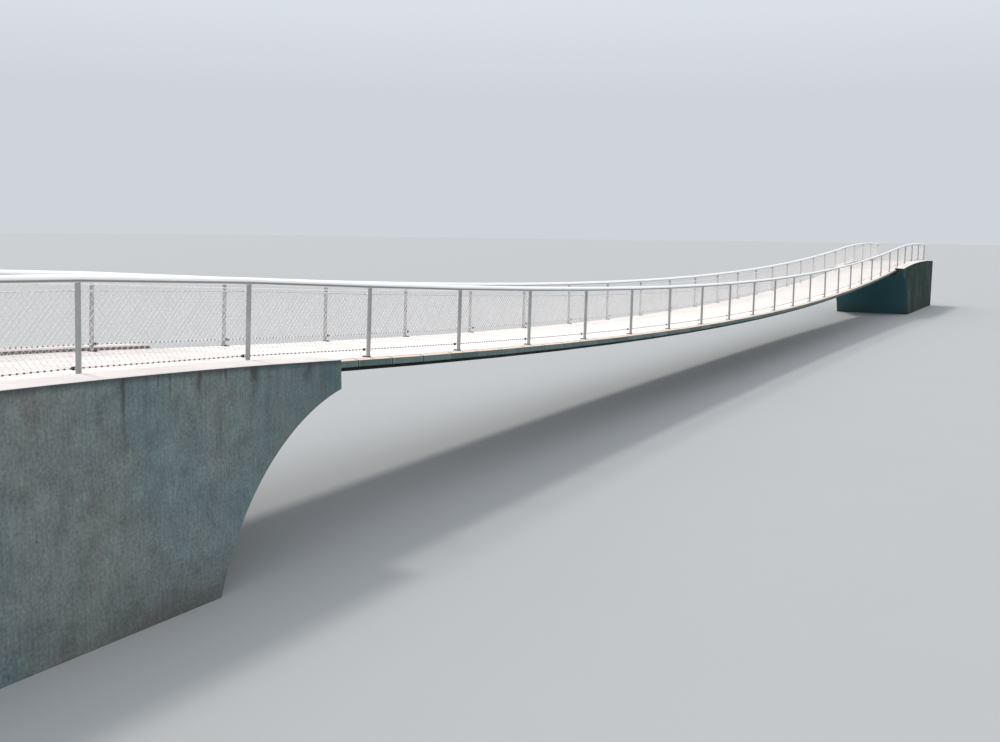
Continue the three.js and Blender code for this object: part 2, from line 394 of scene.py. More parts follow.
def abutmentConcrete():
    material, tree, shader, place = newMaterial("abutment_concrete", wallLook["roughness"])
    shader.inputs["Specular IOR Level"].default_value = wallLook["gloss"]
    x, y, z = splitUp(tree, place)
    length = mathNode(tree, "ABSOLUTE", x)
    below = useGroup(tree, belowEdge, {"Vector": place})["Below"]
    patches = cloudy(tree, place, wallLook["patches"])
    panels = cloudy(tree, stretched(tree, place, wallLook["panelStretch"]), wallLook["panels"])
    blotches = cloudy(tree, place, wallLook["blotches"])
    fine = cloudy(tree, place, wallLook["fine"])
    boards = cloudy(tree, stretched(tree, place, wallLook["boardStretch"]), wallLook["boards"])
    cloud = times(tree, plus(tree, patches, panels), 0.5)
    dry = remap(tree, length, noseX, noseX + wallLook["dryLength"], -0.15, 0.35)
    wall = mixColor(tree, plus(tree, cloud, dry, clamp=True), wallLook["blue"], wallLook["grey"])
    wall = shaded(tree, wall, blotches, wallLook["blotchTones"])
    wall = shaded(tree, wall, fine, wallLook["fineTones"])
    wall = shaded(tree, wall, boards, wallLook["boardTones"])

    runny = {"Vector": place, "Below": below}
    for columns, reach, sparse, share, cover in wallLook["drips"]:
        mask = useGroup(tree, drips, runny | {"Columns": columns, "Reach": reach, "Sparse": sparse})["Mask"]
        wall = covered(tree, wall, mask, share, wallLook[cover])
    single = 0.0
    for start, width, reach in wallLook["runs"]:
        mask = useGroup(tree, run, runny | {"Place": start, "Width": width, "Reach": reach})["Mask"]
        single = mathNode(tree, "MAXIMUM", mask, single)
    onRight = remap(tree, y, 0.0, -0.1, 0.0, wallLook["runShare"])
    wall = covered(tree, wall, single, onRight, wallLook["stain"])
    # darker above the deck line, fading out 2 cm under the top edge
    wall = mixColor(tree, remap(tree, below, -0.012, 0.02, 0.7, 0.0), wall, wallLook["grime"])

    nearNose = remap(tree, length, noseX + wallLook["dampLength"], noseX, 0.2, 1.0)
    wall = covered(tree, wall, times(tree, nearNose, blotches), 0.8, wallLook["damp"])
    # moss and painted shade of trees: the far abutment turns dark green, most on its side that looks to -Y
    thick = remap(tree, cloud, 0.2, 0.8, 1.12, 0.8)
    mossAndTreeShadeMask = times(tree, remap(tree, x, 0.0, 1.0, 0.0, wallLook["mossAndTreeShadeShare"]), thick, clamp=True)
    leftwards = remap(tree, y, -0.85, 0.9, 1.0, wallLook["mossAndTreeShadeOnLeft"])
    wall = covered(tree, wall, mossAndTreeShadeMask, leftwards, wallLook["mossAndTreeShade"])
    # painted shade and painted reflection of water: faces that look down turn dark teal
    uneven = remap(tree, blotches, 0.0, 1.0, 0.95, 0.8)
    wall = covered(tree, wall, downward(tree), uneven, wallLook["soffitPaintedShade"])
    splash = times(tree, remap(tree, z, wallLook["splashHeight"], 0.0), patches)
    wall = covered(tree, wall, splash, 0.7, wallLook["stain"])
    holes = pitted(tree, place, wallLook["holes"])
    wall = covered(tree, wall, holes, 0.6, wallLook["grime"])

    inputs = {"Vector": place, "Pitch": wallLook["deckJointPitch"], "Width": wallLook["deckJointWidth"]}
    joints = useGroup(tree, slabTone, inputs)["Joint"]
    track = cloudy(tree, place, wallLook["track"])
    top = mixColor(tree, track, wallLook["deck"], wallLook["deckWorn"])
    acrossY = mathNode(tree, "ABSOLUTE", y)
    kerb = deckLine["kerbInnerY"]
    line = times(tree, joints, remap(tree, acrossY, kerb - 0.005, kerb, 1.0, 0.0))
    top = covered(tree, top, line, 0.7, wallLook["deckJoint"])
    # painted shade: the kerbs' inner faces above the deck line are much darker than their tops
    inner = remap(tree, acrossY, kerb + 0.002, kerb + 0.0015)
    aboveDeckLine = remap(tree, below, 0.001, -0.001)
    wall = covered(tree, wall, inner, aboveDeckLine, wallLook["kerbInsideShade"])
    # painted light: faces that look up take the pale deck colours, part wear and dryness and part painted
    # sunlight, while the walls keep their darker colour of painted shade
    paleLitTop = upward(tree, 0.35, 0.6)
    tree.links.new(mixColor(tree, paleLitTop, wall, top), shader.inputs["Base Color"])
    tree.links.new(remap(tree, fine, 0.0, 1.0, 0.78, 0.95), shader.inputs["Roughness"])
    relief = minus(tree, times(tree, fine, 0.5), holes)
    relief = minus(tree, relief, times(tree, line, paleLitTop))
    addBump(tree, shader, relief, wallLook["relief"], 0.6)
    return material


slabLook = {
    "top": (0.79, 0.72, 0.665, 1),
    "topWorn": (0.68, 0.61, 0.555, 1),
    # painted shade: the sides of the same concrete are dark teal against the pale top
    "side": (0.073, 0.120, 0.113, 1),
    "sidePale": (0.16, 0.213, 0.193, 1),
    "dirt": (0.045, 0.040, 0.036, 1),
    "fall": (0.66, 0.50, 0.39, 1),
    "fallLine": (0.17, 0.09, 0.065, 1),
    "chipped": (0.42, 0.43, 0.40, 1),
    "roughness": 0.88,
    "patches": (4.5, 7.0, 0.36, 0.78),
    "sand": (120.0, 5.0, 0.3, 0.7),
    "sandTones": ((0.8, 0.8, 0.8, 1), (1.15, 1.15, 1.15, 1), 0.35),
    "broomStretch": (260.0, 3.0, 3.0),
    "broom": (1.0, 2.0, 0.3, 0.7),
    "streakStretch": (34.0, 34.0, 1.5),
    "streaks": (1.0, 4.0, 0.52, 0.75),
    "holes": (38.0, 0.12),
    "jointWidth": 0.016,  # how far a joint's dirt reaches
    "relief": 0.0009,
}


def slabConcrete():
    material, tree, shader, place = newMaterial("slab_concrete", slabLook["roughness"])
    inputs = {"Vector": place, "Pitch": slabPitch, "Offset": noseX, "Width": slabLook["jointWidth"]}
    tones = useGroup(tree, slabTone, inputs)
    patches = cloudy(tree, place, slabLook["patches"])
    sand = cloudy(tree, place, slabLook["sand"])
    broom = cloudy(tree, stretched(tree, place, slabLook["broomStretch"]), slabLook["broom"])
    streaks = cloudy(tree, stretched(tree, place, slabLook["streakStretch"]), slabLook["streaks"])

    top = mixColor(tree, patches, slabLook["top"], slabLook["topWorn"])
    top = covered(tree, top, tones["Tone"], 0.5, slabLook["topWorn"])
    acrossY = mathNode(tree, "ABSOLUTE", splitUp(tree, place)[1])
    edge = slabs["width"] / 2 - slabs["edgeFallWidth"]
    beyond = remap(tree, acrossY, edge - 0.002, edge + 0.002)
    top = covered(tree, top, beyond, remap(tree, patches, 0.0, 1.0, 0.95, 0.6), slabLook["fall"])
    fromLine = mathNode(tree, "ABSOLUTE", minus(tree, acrossY, edge))
    atLine = remap(tree, fromLine, 0.0065, 0.0025)
    top = covered(tree, top, atLine, remap(tree, patches, 0.0, 1.0, 0.9, 0.5), slabLook["fallLine"])

    side = covered(tree, slabLook["side"], tones["Tone"], 0.9, slabLook["sidePale"])
    side = covered(tree, side, patches, 0.6, slabLook["side"])
    side = covered(tree, side, streaks, 0.55, slabLook["dirt"])
    besideJoint = mathNode(tree, "ABSOLUTE", minus(tree, tones["Joint"], 0.32))
    chips = remap(tree, besideJoint, 0.16, 0.05)
    side = covered(tree, side, chips, remap(tree, streaks, 0.6, 0.1, 0.2, 0.75), slabLook["chipped"])

    # painted light: faces that look up take the pale top colours, the others the dark side colours of
    # painted shade
    color = shaded(tree, mixColor(tree, upward(tree), side, top), sand, slabLook["sandTones"])
    color = mixColor(tree, remap(tree, tones["Joint"], 0.46, 0.72, 0.0, 0.9), color, slabLook["dirt"])
    holes = pitted(tree, place, slabLook["holes"])
    color = covered(tree, color, holes, 0.5, slabLook["dirt"])
    tree.links.new(color, shader.inputs["Base Color"])
    tree.links.new(remap(tree, sand, 0.0, 1.0, 0.8, 0.95), shader.inputs["Roughness"])
    combed = times(tree, broom, upward(tree))
    relief = plus(tree, times(tree, sand, 0.4), times(tree, combed, 0.5))
    addBump(tree, shader, minus(tree, relief, holes), slabLook["relief"], 0.6)
    return material


# near black: dark steel with painted shade, as the bands lie in the shadow under the slabs
bandLook = {
    "steel": (0.006, 0.0065, 0.007, 1),
    "worn": (0.014, 0.0135, 0.013, 1),
    "rust": (0.035, 0.020, 0.012, 1),
    "roughness": 0.6,
    "gloss": 0.15,
    "patches": (6.0, 8.0, 0.4, 0.7),
    "spots": (23.0, 8.0, 0.58, 0.74),
    "fine": (160.0, 4.0, 0.3, 0.7),
    "relief": 0.0004,
}


def bandSteel():
    material, tree, shader, place = newMaterial("band_steel_dark_and_shaded", bandLook["roughness"])
    shader.inputs["Specular IOR Level"].default_value = bandLook["gloss"]
    patches, spots, fine = (cloudy(tree, place, bandLook[name]) for name in ("patches", "spots", "fine"))
    color = mixColor(tree, patches, bandLook["steel"], bandLook["worn"])
    color = covered(tree, color, spots, 0.55, bandLook["rust"])
    tree.links.new(color, shader.inputs["Base Color"])
    tree.links.new(remap(tree, spots, 0.0, 1.0, 0.2, 0.0), shader.inputs["Metallic"])
    tree.links.new(remap(tree, patches, 0.0, 1.0, 0.45, 0.75), shader.inputs["Roughness"])
    addBump(tree, shader, plus(tree, fine, spots), bandLook["relief"], 0.5)
    return material


steelLooks = {  # roughness: where it is pale, and where it is dark
    "rail_steel": {
        # near white with little metallic: painted sunlit glare on satin steel
        "pale": (0.96, 0.95, 0.935, 1), "dark": (0.86, 0.85, 0.835, 1), "dirt": (0.50, 0.47, 0.43, 1),
        "roughness": (0.24, 0.38), "brush": (2.0, 90.0, 90.0), "dirtShare": 0.15, "metallic": 0.2,
        "underShadeShare": 0.85,
    },
    "post_steel": {
        "pale": (0.43, 0.44, 0.43, 1), "dark": (0.28, 0.29, 0.28, 1), "dirt": (0.15, 0.13, 0.11, 1),
        "roughness": (0.33, 0.5), "brush": (70.0, 70.0, 2.5), "dirtShare": 0.4, "metallic": 0.3,
    },
    "plate_steel": {
        "pale": (0.034, 0.029, 0.025, 1), "dark": (0.018, 0.015, 0.013, 1),
        "dirt": (0.045, 0.026, 0.017, 1), "roughness": (0.6, 0.8), "brush": (24.0, 24.0, 24.0),
        "dirtShare": 0.6, "metallic": 0.1, "gloss": 0.08,
    },
    "clamp_steel": {
        "pale": (0.06, 0.06, 0.062, 1), "dark": (0.025, 0.025, 0.027, 1), "dirt": (0.06, 0.04, 0.03, 1),
        "roughness": (0.4, 0.6), "brush": (60.0, 60.0, 60.0), "dirtShare": 0.4, "metallic": 0.6,
    },
    "loop_steel": {
        "pale": (0.24, 0.115, 0.085, 1), "dark": (0.13, 0.060, 0.046, 1), "dirt": (0.28, 0.14, 0.08, 1),
        "roughness": (0.5, 0.7), "brush": (60.0, 60.0, 60.0), "dirtShare": 0.4, "metallic": 0.3,
    },
    "fitting_steel": {
        "pale": (0.84, 0.84, 0.83, 1), "dark": (0.66, 0.66, 0.66, 1), "dirt": (0.34, 0.31, 0.28, 1),
        "roughness": (0.3, 0.45), "brush": (60.0, 60.0, 60.0), "dirtShare": 0.25, "metallic": 0.6,
    },
    "net_steel": {
        "pale": (0.94, 0.90, 0.88, 1), "dark": (0.76, 0.72, 0.70, 1), "dirt": (0.42, 0.30, 0.26, 1),
        "roughness": (0.35, 0.5), "brush": (50.0, 50.0, 50.0), "dirtShare": 0.3, "metallic": 0.5,
    },
}
steelMarks = {
    "brushed": (1.0, 5.0, 0.3, 0.7),
    "patches": (7.0, 6.0, 0.35, 0.75),
    "spots": (31.0, 7.0, 0.56, 0.78),
    # painted shade under a tube's middle
    "tubePaintedUnderShade": (0.17, 0.165, 0.17, 1),
    "relief": 0.00012,
}


def steel(name):
    look = steelLooks[name]
    smooth, rough = look["roughness"]
    material, tree, shader, place = newMaterial(name, rough, look["metallic"])
    if "gloss" in look:
        shader.inputs["Specular IOR Level"].default_value = look["gloss"]
    brushed = cloudy(tree, stretched(tree, place, look["brush"]), steelMarks["brushed"])
    patches = cloudy(tree, place, steelMarks["patches"])
    spots = cloudy(tree, place, steelMarks["spots"])
    tone = times(tree, plus(tree, brushed, patches), 0.5)
    color = mixColor(tree, tone, look["dark"], look["pale"])
    color = covered(tree, color, spots, look["dirtShare"], look["dirt"])
    if "underShadeShare" in look:  # painted shade: a tube is darker in a band under its middle
        band = times(tree, downward(tree, -0.02, -0.25), remap(tree, facingZ(tree), -0.8, -0.55))
        color = covered(tree, color, band, look["underShadeShare"], steelMarks["tubePaintedUnderShade"])
    tree.links.new(color, shader.inputs["Base Color"])
    tree.links.new(remap(tree, tone, 0.0, 1.0, rough, smooth), shader.inputs["Roughness"])
    addBump(tree, shader, brushed, steelMarks["relief"], 0.5)
    return material


ropeLook = {
    "groove": (0.80, 0.80, 0.80, 1),
    "strand": (0.96, 0.96, 0.95, 1),
    "dirt": (0.50, 0.46, 0.42, 1),
    "roughness": 0.4,
    "lay": 32,  # degrees that the strands lean
    "strandScale": 130.0,
    "spots": (14.0, 5.0, 0.45, 0.75),
    "relief": 0.0006,
}


def ropeSteel():  # the strands of a wire rope lie slantwise round it
    material, tree, shader, place = newMaterial("rope_steel", ropeLook["roughness"])
    inputs = {"Vector": place, "Rotation": (0.0, math.radians(ropeLook["lay"]), 0.0)}
    turned = addNode(tree, "ShaderNodeMapping", inputs).outputs[0]
    inputs = {"Vector": turned, "Scale": ropeLook["strandScale"], "Distortion": 0.3}
    strands = addNode(tree, "ShaderNodeTexWave", inputs, bands_direction="X").outputs["Fac"]
    spots = cloudy(tree, place, ropeLook["spots"])
    color = mixColor(tree, strands, ropeLook["groove"], ropeLook["strand"])
    color = covered(tree, color, spots, 0.25, ropeLook["dirt"])
    tree.links.new(color, shader.inputs["Base Color"])
    tree.links.new(remap(tree, spots, 0.0, 1.0, 0.3, 0.5), shader.inputs["Roughness"])
    addBump(tree, shader, strands, ropeLook["relief"], 0.8)
    return material


slabs = {
    "perBay": 3,
    "width": 1.46,
    "thickness": 0.054,
    "joint": 0.005,
    "jointDepth": 0.041,
    "edgeFallWidth": 0.042,
    "edgeFall": 0.0095,
    "arris": 0.0022,
    "arrisAngle": 10,
    "mortarInset": 0.012,
    "mortarLength": 0.008,  # it reaches a little under both slabs
    "flatArea": 0.004,  # larger faces are shaded flat
}
slabPitch = bay / slabs["perBay"]

materials = {name: steel(name) for name in steelLooks}
materials["rope_steel"] = ropeSteel()
materials["band_steel_dark_and_shaded"] = bandSteel()
materials["slab_concrete"] = slabConcrete()
materials["abutment_concrete"] = abutmentConcrete()
print("materials:", len(materials))


# Mesh helpers
rimAngle = 60  # degrees; a rod's end and its side meet at more


def addPiece(name, mesh, material, slot, replaced, sharpAngle=35, isFlat=None):
    mesh.name = name
    mesh.materials.clear()
    mesh.materials.append(materials[material])
    mesh.shade_smooth()
    mesh.set_sharp_from_angle(angle=math.radians(sharpAngle))
    if isFlat:
        for face in mesh.polygons:
            face.use_smooth = not isFlat(face)
    piece = bpy.data.objects.new(name, mesh)
    bpy.context.scene.collection.objects.link(piece)
    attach(piece, "root")
    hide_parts(replaced)


def toMesh(bm):
    mesh = bpy.data.meshes.new("part")
    bm.to_mesh(mesh)
    bm.free()
    return mesh


def addCopy(bm, mesh, place):
    start = len(bm.verts)
    bm.from_mesh(mesh)
    bm.verts.ensure_lookup_table()
    bmesh.ops.transform(bm, matrix=place, verts=bm.verts[start:])


def bevelEdges(bm, edges, offset, segments=2):
    bmesh.ops.bevel(
        bm, geom=edges, offset=offset, offset_type="OFFSET", affect="EDGES",
        segments=segments, profile=0.5, material=-1, clamp_overlap=True,
    )


def sharpEdges(bm, degrees):
    return [e for e in bm.edges if len(e.link_faces) == 2 and e.calc_face_angle() > math.radians(degrees)]


def extrudeFaces(bm, faces, step):  # returns the faces in front
    moved = bmesh.ops.extrude_face_region(bm, geom=faces)["geom"]
    bmesh.ops.translate(bm, vec=step, verts=[v for v in moved if isinstance(v, bmesh.types.BMVert)])
    return [f for f in moved if isinstance(f, bmesh.types.BMFace)]


def addRod(bm, start, end, radius, sides, rounding=0.0):  # a round bar from point to point
    start, end = Vector(start), Vector(end)
    axis = end - start
    place = Matrix.Translation((start + end) / 2) @ axis.to_track_quat("Z", "Y").to_matrix().to_4x4()
    made = bmesh.ops.create_cone(
        bm, cap_ends=True, segments=sides, radius1=radius, radius2=radius, depth=axis.length, matrix=place,
    )
    if rounding:
        edges = {e for v in made["verts"] for e in v.link_edges}
        rims = [e for e in edges if e.calc_face_angle() > math.radians(rimAngle)]
        bevelEdges(bm, rims, rounding)


def addBlock(bm, centre, size):
    place = Matrix.Translation(centre) @ Matrix.Diagonal((*size, 1))
    bmesh.ops.create_cube(bm, size=1.0, matrix=place)


def tubes(lines, radius, roundness):  # round wires along lists of points, made with curves
    curve = bpy.data.curves.new("wires", "CURVE")
    curve.dimensions = "3D"
    curve.bevel_depth = radius
    curve.bevel_resolution = roundness
    curve.use_fill_caps = True
    for points in lines:
        spline = curve.splines.new("POLY")
        spline.points.add(len(points) - 1)
        for point, place in zip(spline.points, points):
            point.co = (*place, 1)
    holder = bpy.data.objects.new("wires", curve)
    bpy.context.scene.collection.objects.link(holder)
    evaluated = holder.evaluated_get(bpy.context.evaluated_depsgraph_get())
    mesh = bpy.data.meshes.new_from_object(evaluated)
    bpy.data.objects.remove(holder)
    bpy.data.curves.remove(curve)
    return mesh


# Abutments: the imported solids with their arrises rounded
abutments = {
    "arris": 0.0035,
    "arrisAngle": 28,
    "kerbEndRounding": 0.013,
    "kerbEndSegments": 5,
    "kerbHeight": 0.023,  # at its outer side
    "kerbEnd": noseEnd + 0.05,  # on the left; the right-hand kerb runs on to the nose
    "closeBy": 0.002,
    "kerbCross": 0.005,  # the kerb's edges across the bridge are longer
    "noseCross": 1.0,
    "meshAngle": 0.3,  # triangles of the solid that meet at less become one face
    "shadingAngle": 24,
}


def makeAbutment(node):
    bm = bmesh.new()
    bm.from_mesh(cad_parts[node].data)
    bmesh.ops.remove_doubles(bm, verts=bm.verts, dist=1e-5)
    meshAngle = math.radians(abutments["meshAngle"])
    bmesh.ops.dissolve_limit(bm, angle_limit=meshAngle, verts=bm.verts, edges=bm.edges)

    def onOutside(edge):
        return all(abs(v.co.y) > deckLine["kerbInnerY"] - abutments["closeBy"] for v in edge.verts)

    def atPlace(edge, x):
        return all(abs(abs(v.co.x) - x) < abutments["closeBy"] for v in edge.verts)

    def acrossBy(edge):
        return abs(edge.verts[0].co.y - edge.verts[1].co.y)

    def kerbEnd(edge):
        start, end = (v.co for v in edge.verts)
        high = min(start.z, end.z) > deckHeight(start.x) + abutments["kerbHeight"] / 2
        return atPlace(edge, abutments["kerbEnd"]) and high and acrossBy(edge) > abutments["kerbCross"]

    def noseEdge(edge):
        return atPlace(edge, noseEnd) and acrossBy(edge) > abutments["noseCross"]

    corners = [e for e in bm.edges if kerbEnd(e)]
    bevelEdges(bm, corners, abutments["kerbEndRounding"], abutments["kerbEndSegments"])
    arrises = [e for e in sharpEdges(bm, abutments["arrisAngle"]) if onOutside(e) or noseEdge(e)]
    bevelEdges(bm, arrises, abutments["arris"])
    bmesh.ops.triangulate(bm, faces=bm.faces)
    addPiece(
        node + "_cast", toMesh(bm), "abutment_concrete", "wall_concrete", node,
        abutments["shadingAngle"], lambda face: abs(face.normal.y) > 0.9999,
    )


makeAbutment("near_abutment")
makeAbutment("far_abutment")
print("abutments made")


# Slabs
def makeSlabTemplate(extra=0.0):
    side = slabs["width"] / 2
    bottom = -slabs["thickness"]
    length = slabPitch - slabs["joint"] + extra
    section = [
        (-side, bottom), (side, bottom), (side, -slabs["edgeFall"]), (side - slabs["edgeFallWidth"], 0),
        (slabs["edgeFallWidth"] - side, 0), (-side, -slabs["edgeFall"]),
    ]
    bm = bmesh.new()
    face = bm.faces.new([bm.verts.new((-length / 2, y, z)) for y, z in section])
    extrudeFaces(bm, [face], (length, 0, 0))
    bmesh.ops.recalc_face_normals(bm, faces=bm.faces)
    bevelEdges(bm, sharpEdges(bm, slabs["arrisAngle"]), slabs["arris"])
    return toMesh(bm)


def makeSlabBays():
    slab = makeSlabTemplate()
    endSlab = makeSlabTemplate(deckLine["endSlabExtra"])
    mortarHeight = slabs["thickness"] - slabs["jointDepth"]
    mortarWidth = slabs["width"] - 2 * slabs["mortarInset"]
    for k in range(deckLine["spanBays"]):
        x = (k + 0.5) * bay - noseX
        bm = bmesh.new()
        for n in range(slabs["perBay"]):
            middle = (n + 0.5) * slabPitch - bay / 2
            atEnd = abs(x + middle) > noseX - slabPitch
            shift = math.copysign(deckLine["endSlabExtra"] / 2, x) if atEnd else 0.0
            addCopy(bm, endSlab if atEnd else slab, Matrix.Translation((middle + shift, 0, 0)))
        for n in range(1, slabs["perBay"]):
            centre = (n * slabPitch - bay / 2, 0, mortarHeight / 2 - slabs["thickness"] + slabs["arris"])
            addBlock(bm, centre, (slabs["mortarLength"], mortarWidth, mortarHeight - slabs["arris"]))
        bmesh.ops.transform(bm, matrix=standAt(x, 0), verts=bm.verts)
        node = f"slab_bay_{k + 1:02d}"
        addPiece(
            node + "_slabs", toMesh(bm), "slab_concrete", "slab_concrete", node,
            isFlat=lambda face: face.area > slabs["flatArea"],
        )


makeSlabBays()
for side in hands:
    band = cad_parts[side + "_band"]
    band.data.materials.clear()
    band.data.materials.append(materials["band_steel_dark_and_shaded"])
print("deck made")

# Railing
railing = {
    "lineY": 0.665,
    "railHeight": 0.50025,  # middle of the handrail above the deck
    "railRadius": 0.02225,
    "railSides": 32,
    "railEndRounding": 0.004,
    "railEndSegments": 4,
    "postRadius": 0.0145,
    "postSides": 24,
    "postTop": 0.486,
    "collarRadius": 0.0165,
    "collarHeight": 0.007,
    "collarRounding": 0.0015,
    "cableInset": 0.035,
    "cableRadius": 0.0035,
    "cableRoundness": 3,
    "lowerCable": 0.051,
    "upperCable": 0.44,
    "cableEnd": 17.514,
}
foot = {
    "length": 0.06,
    "width": 0.032,
    "thickness": 0.005,
    "offset": 0.015,
    "gap": 0.0003,
    "corner": 0.003,
    "cornerSegments": 3,
    "edgeRounding": 0.001,
    "boltX": 0.0092,
    "boltY": -0.034,
    "headRadius": 0.0042,
    "headHeight": 0.0032,
    "headRounding": 0.0005,
    "headSides": 6,
    "washerRadius": 0.0052,
    "washerHeight": 0.001,
    "washerSides": 12,
    "flatArea": 0.0003,  # larger faces are shaded flat
}
clamps = {
    "lowerRadius": 0.0098,
    "lowerLength": 0.023,
    "lowerRounding": 0.004,
    "upperRadius": 0.0062,
    "upperLength": 0.017,
    "upperRounding": 0.0012,
    "sides": 14,
    "lugRadius": 0.0042,
    "lugStart": 0.0116,  # from the post's middle, so inside the post
    "lugSides": 10,
}


# The templates are drawn for the left-hand railing, whose inner side looks to -Y.
def postTemplate():
    bm = bmesh.new()
    start = (0, 0, foot["thickness"])
    collarTop = (0, 0, foot["thickness"] + railing["collarHeight"])
    sides = railing["postSides"]
    addRod(bm, start, (0, 0, railing["postTop"]), railing["postRadius"], sides)
    addRod(bm, start, collarTop, railing["collarRadius"], sides, railing["collarRounding"])
    return toMesh(bm)


def footTemplate():
    bm = bmesh.new()
    top = foot["thickness"] + foot["gap"]
    centre = (0, -foot["offset"], foot["gap"] + foot["thickness"] / 2)
    addBlock(bm, centre, (foot["width"], foot["length"], foot["thickness"]))
    corners = [e for e in bm.edges if abs(e.verts[0].co.z - e.verts[1].co.z) > foot["thickness"] / 2]
    bevelEdges(bm, corners, foot["corner"], foot["cornerSegments"])
    upper = [e for e in sharpEdges(bm, rimAngle) if all(v.co.z > top - 1e-5 for v in e.verts)]
    bevelEdges(bm, upper, foot["edgeRounding"])
    for x in (-foot["boltX"], foot["boltX"]):
        place = Vector((x, foot["boltY"], top))
        washer = place + Vector((0, 0, foot["washerHeight"]))
        head = washer + Vector((0, 0, foot["headHeight"]))
        addRod(bm, place, washer, foot["washerRadius"], foot["washerSides"])
        addRod(bm, washer, head, foot["headRadius"], foot["headSides"], foot["headRounding"])
    return toMesh(bm)


def addClamp(bm, size, height):  # round the cable, at "lower" or "upper" size
    half = clamps[size + "Length"] / 2
    ends = [(x, -railing["cableInset"], height) for x in (-half, half)]
    addRod(bm, *ends, clamps[size + "Radius"], clamps["sides"], clamps[size + "Rounding"])


def lugTemplate():
    bm = bmesh.new()
    for height in (railing["lowerCable"], railing["upperCable"]):
        ends = [(0, -y, height) for y in (clamps["lugStart"], railing["cableInset"])]
        addRod(bm, *ends, clamps["lugRadius"], clamps["lugSides"])
    addClamp(bm, "upper", railing["upperCable"])
    return toMesh(bm)


def clampTemplate():
    bm = bmesh.new()
    addClamp(bm, "lower", railing["lowerCable"])
    return toMesh(bm)


templates = {  # part: mesh, material, slot
    "posts": (postTemplate(), "post_steel", "post_steel"),
    "feet": (footTemplate(), "plate_steel", "post_steel"),
    "lugs": (lugTemplate(), "fitting_steel", "post_steel"),
    "clamps": (clampTemplate(), "clamp_steel", "dark_steel"),
}


def stationsBetween(start, end):
    return [start] + [x for x in postPlaces if start < x < end] + [end]


def makePosts(side, hand, stretch, start, end):
    turn = 0.0 if hand > 0 else math.pi
    for part, (template, material, slot) in templates.items():
        bm = bmesh.new()
        for x in stationsBetween(start, end)[1:-1]:
            addCopy(bm, template, standAt(x, hand * railing["lineY"], turn))
        isFlat = (lambda face: face.area > foot["flatArea"]) if part == "feet" else None
        name = f"{side}_{stretch}_{part}"
        addPiece(name, toMesh(bm), material, slot, f"{side}_posts_{stretch}", isFlat=isFlat)


def makeHandrail(side, hand, stretch, start, end):
    stations = stationsBetween(start, end)
    points = [alongRailing(x, hand * railing["lineY"], railing["railHeight"]) for x in stations]
    bm = bmesh.new()
    place = Matrix.Translation(points[0]) @ Matrix.Rotation(math.pi / 2, 4, "Y")
    sides, radius = railing["railSides"], railing["railRadius"]
    bmesh.ops.create_circle(bm, cap_ends=True, segments=sides, radius=radius, matrix=place)
    front = bm.faces[:]
    for before, after in zip(points, points[1:]):
        front = extrudeFaces(bm, front, after - before)
    bmesh.ops.recalc_face_normals(bm, faces=bm.faces)
    endX = deckLine["halfLength"] - railing["railRadius"]
    rims = [e for e in sharpEdges(bm, rimAngle) if all(abs(v.co.x) > endX for v in e.verts)]
    bevelEdges(bm, rims, railing["railEndRounding"], railing["railEndSegments"])
    name = f"{side}_{stretch}_handrail"
    addPiece(name, toMesh(bm), "rail_steel", "rail_steel", f"{side}_handrail_{stretch}")


def makeCables(side, hand, stretch, start, end):
    y = hand * (railing["lineY"] - railing["cableInset"])
    stations = stationsBetween(max(start, -railing["cableEnd"]), min(end, railing["cableEnd"]))
    heights = (railing["lowerCable"], railing["upperCable"])
    lines = [[alongRailing(x, y, height) for x in stations] for height in heights]
    mesh = tubes(lines, railing["cableRadius"], railing["cableRoundness"])
    addPiece(f"{side}_{stretch}_cables", mesh, "rope_steel", "post_steel", f"{side}_posts_{stretch}")


net = {
    "perBay": 32,  # diamonds between two posts
    "rows": 9,
    "wireRadius": 0.0011,
    "wireShift": 0.9,  # of the radius, so that crossing wires touch
    "shortestWire": 0.25,  # of the pitch
    "wireRoundness": 0,
    "sleeveRadius": 0.0017,
    "sleeveLength": 0.005,
    "loopRadius": 0.0050,
    "loopLength": 0.011,
    "loopRoundness": 1,
    "shadingAngle": 120,  # the wires have 4 sides and are shaded round
}
netPitch = bay / net["perBay"]
netRowHeight = (railing["upperCable"] - railing["lowerCable"]) / net["rows"]


# The wires cross in a lattice. Each one runs from cable to cable and bends only at a post.
def netLines(hand, start, end):
    lines = []
    lean = net["rows"] * netPitch
    low, high = railing["lowerCable"], railing["upperCable"]
    for slant in (1, -1):
        shift = slant * net["wireRadius"] * net["wireShift"]
        y = hand * (railing["lineY"] - railing["cableInset"]) + shift
        for k in range(round((start - lean) / netPitch), round((end + lean) / netPitch) + 1):
            lowerEnd = k * netPitch
            inside = sorted(max(start, min(end, x)) for x in (lowerEnd, lowerEnd + slant * lean))
            if inside[1] - inside[0] < netPitch * net["shortestWire"]:
                continue
            stations = stationsBetween(*inside)
            shares = [(x - lowerEnd) / (slant * lean) for x in stations]
            lines.append([alongRailing(x, y, low + t * (high - low)) for x, t in zip(stations, shares)])
    return lines


def netPoints(start, end, levels):  # the lattice's crossings on the given levels
    points = []
    for level in levels:
        shift = (level % 2) / 2
        for k in range(round(start / netPitch), round(end / netPitch)):
            points.append(((k + shift) * netPitch, railing["lowerCable"] + level * netRowHeight / 2))
    return points


